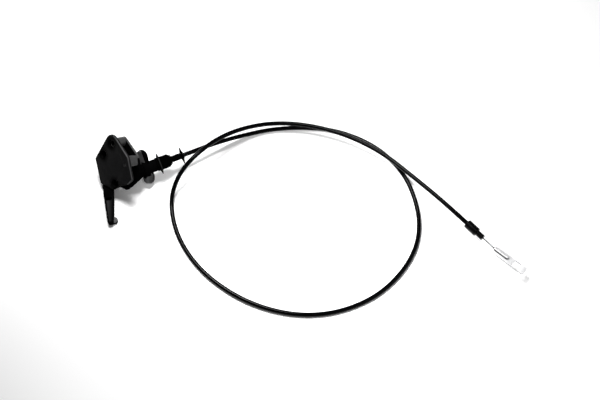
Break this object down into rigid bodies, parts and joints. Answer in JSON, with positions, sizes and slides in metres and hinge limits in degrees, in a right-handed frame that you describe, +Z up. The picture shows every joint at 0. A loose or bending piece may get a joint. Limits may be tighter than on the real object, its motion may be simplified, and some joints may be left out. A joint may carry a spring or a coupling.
{
  "type": "bonnet release cable",
  "caption": "Bonnet release cable: a pull handle in a two-plate housing with an inclined nozzle, a long sleeved conduit and an eyed terminal link at the far end.",
  "frame": {"origin": "on the table, under the centre of the handle assembly's box, without the conduit and the pieces on its far end", "axes": "+Z up from the table; the conduit leaves the handle towards +X and +Y; the lever points towards -Y"},
  "size_m": [0.4817, 0.2476, 0.0615],
  "materials": {
    "cover_plastic": "fine moulded grain, satin dark grey",
    "housing_plastic": "moulded black, satin",
    "lever_plastic": "moulded black, satin",
    "blackened_steel": "blackened steel",
    "zinc_steel": "zinc plated",
    "brass_cap": "turned",
    "seal_rubber": "matt black rubber",
    "conduit_sleeving": "smooth black sleeving with a soft sheen",
    "ferrule_plastic": "moulded black",
    "wire_strand": "stranded galvanised wire",
    "bright_zinc": "bright zinc plated, pressed"
  },
  "bodies": {
    "root": {"front_cover": "cover_plastic", "housing": "housing_plastic", "bush_top": "blackened_steel", "bush_left": "blackened_steel", "bush_bottom": "blackened_steel", "pivot_pin": "zinc_steel", "pivot_washer": "zinc_steel", "wire_guide": "zinc_steel", "conduit_end_cap": "brass_cap", "wing_lock": "housing_plastic", "sealing_grommet": "seal_rubber", "end_sleeve": "seal_rubber", "conduit": "conduit_sleeving", "ferrule_sleeve": "ferrule_plastic", "ferrule_tube": "ferrule_plastic"},
    "lever": {"lever": "lever_plastic"},
    "handle_wire": {"handle_wire": "wire_strand", "handle_nipple": "zinc_steel"},
    "latch_wire": {"latch_wire": "wire_strand", "wire_crimp": "zinc_steel", "terminal_link": "bright_zinc"}
  },
  "joints": [
    {"name": "lever_pull", "type": "hinge", "parent": "root", "child": "lever", "pos_m": [-0.03075, 0.02313, 0.02555], "axis": [0.6179, 0.5539, -0.5579], "range_deg": [0, 40]},
    {"name": "handle_wire_slide", "type": "slide", "parent": "root", "child": "handle_wire", "axis": [-0.7824, 0.5031, -0.367], "range_m": [0, 0.00825]},
    {"name": "latch_wire_slide", "type": "slide", "parent": "root", "child": "latch_wire", "axis": [-0.6514, 0.7587, 0], "range_m": [0, 0.00825]}
  ],
  "couplings": [
    {"joint": "handle_wire_slide", "follows": "lever_pull", "m_per_rad": 0.011758},
    {"joint": "latch_wire_slide", "follows": "lever_pull", "m_per_rad": 0.011758}
  ]
}
